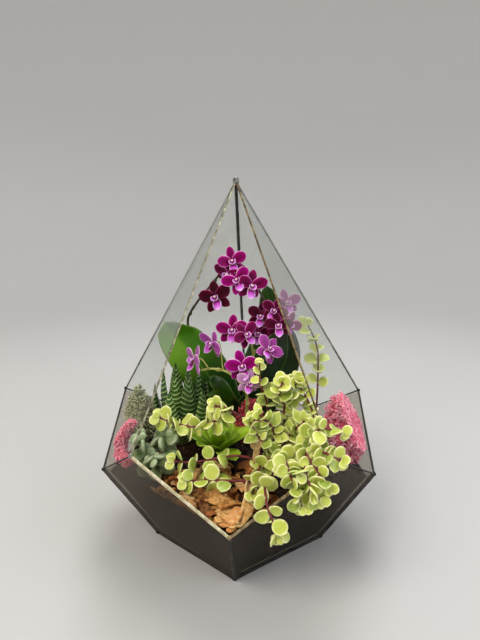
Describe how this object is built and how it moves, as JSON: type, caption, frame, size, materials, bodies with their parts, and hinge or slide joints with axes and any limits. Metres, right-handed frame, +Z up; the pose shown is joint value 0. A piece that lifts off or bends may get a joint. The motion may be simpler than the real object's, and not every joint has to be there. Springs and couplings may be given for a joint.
{
  "type": "glass plant terrarium",
  "caption": "Faceted glass terrarium with an open front pane, planted with an orchid, succulents, trailing leafy stems and moss on soil and bark.",
  "frame": {"origin": "middle of the footprint, on the flat underside that the terrarium stands on", "axes": "+Z up to the apex, the open pane faces -Y, +X to the right as seen from the open side"},
  "size_m": [0.3082, 0.3276, 0.4172],
  "materials": {
    "clear_glass": "polished",
    "smoked_glass": "polished",
    "foil": "satin",
    "solder": "satin",
    "orchid_leaf": "satin",
    "orchid_spike": "satin",
    "orchid_bloom": "satin",
    "zebra_leaf": "satin",
    "rosette_leaf": "satin",
    "pink_moss": "matte",
    "red_moss": "matte",
    "green_moss": "matte",
    "bark": "matte",
    "jade_leaf": "satin",
    "variegated_leaf": "satin",
    "soil": "matte"
  },
  "bodies": {
    "root": {"clear_pane_right_front": "clear_glass", "foil_roof_right_front": "foil", "clear_pane_right_back": "clear_glass", "foil_roof_right_back": "foil", "clear_pane_left_back": "clear_glass", "foil_roof_left_back": "foil", "clear_pane_left_front": "clear_glass", "foil_roof_left_front": "foil", "smoked_pane_right_front": "smoked_glass", "foil_wall_right_front": "foil", "smoked_pane_right_back": "smoked_glass", "foil_wall_right_back": "foil", "smoked_pane_back": "smoked_glass", "foil_wall_back": "foil", "smoked_pane_left_back": "smoked_glass", "foil_wall_left_back": "foil", "smoked_pane_left_front": "smoked_glass", "foil_wall_left_front": "foil", "base_pane": "smoked_glass", "foil_base": "foil", "apex_solder": "solder", "orchid_leaves": "orchid_leaf", "orchid_spike_upper": "orchid_spike", "orchid_spike_lower": "orchid_spike", "orchid_bloom_crown": "orchid_bloom", "orchid_bloom_upper_left": "orchid_bloom", "orchid_bloom_side": "orchid_bloom", "orchid_bloom_by_glass": "orchid_bloom", "orchid_bloom_behind_seam": "orchid_bloom", "orchid_bloom_right_pair": "orchid_bloom", "orchid_bloom_inner": "orchid_bloom", "orchid_bloom_middle": "orchid_bloom", "orchid_bloom_middle_left": "orchid_bloom", "orchid_bloom_low_left": "orchid_bloom", "orchid_bloom_low": "orchid_bloom", "orchid_bloom_low_right": "orchid_bloom", "zebra_plant": "zebra_leaf", "green_rosette": "rosette_leaf", "pink_moss_right": "pink_moss", "pink_moss_left": "pink_moss", "red_moss_middle": "red_moss", "green_moss_left": "green_moss", "bark_mulch": "bark", "grey_jade": "jade_leaf", "trailing_stem_left": "variegated_leaf", "trailing_stem_low_left": "variegated_leaf", "trailing_stem_bark": "variegated_leaf", "trailing_stem_sprig": "variegated_leaf", "trailing_stem_top": "variegated_leaf", "trailing_stem_seam": "variegated_leaf", "trailing_stem_right": "variegated_leaf", "trailing_stem_over_rim": "variegated_leaf", "trailing_stem_cascade": "variegated_leaf", "trailing_stem_tip": "variegated_leaf", "trailing_stem_front": "variegated_leaf", "trailing_stem_heart": "variegated_leaf", "trailing_stem_upright": "variegated_leaf", "soil": "soil"}
  },
  "joints": []
}
